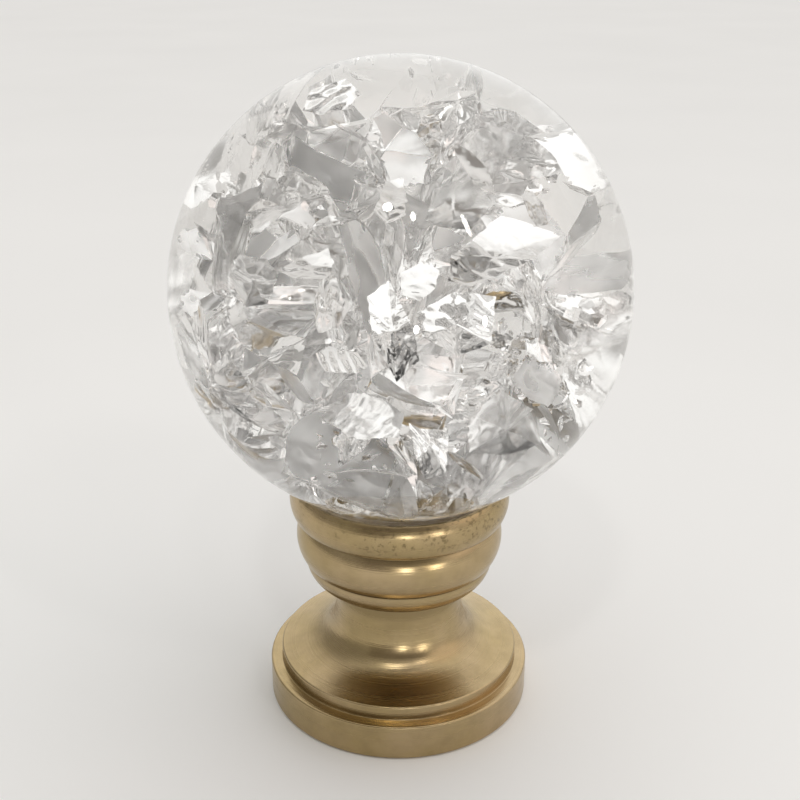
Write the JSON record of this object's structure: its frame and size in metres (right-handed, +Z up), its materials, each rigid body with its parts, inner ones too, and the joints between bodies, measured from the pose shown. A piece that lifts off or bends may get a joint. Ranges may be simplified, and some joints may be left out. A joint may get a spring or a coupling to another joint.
{
  "type": "lamp shade finial",
  "caption": "Lamp shade finial: a clear crackled glass ball seated in a turned brass base with a threaded blind bore in its underside.",
  "frame": {"origin": "centre of the foot's flat underside, on the axis of the threaded bore", "axes": "+Z up along the turning axis, from the foot to the top of the ball; X and Y are free, the part is round"},
  "size_m": [0.04, 0.04, 0.0603],
  "materials": {
    "brass": "satin turned brass with light tarnish",
    "glass": "clear, polished outside, crackled inside"
  },
  "bodies": {
    "root": {"brass_base": "brass", "glass_ball": "glass"}
  },
  "joints": []
}
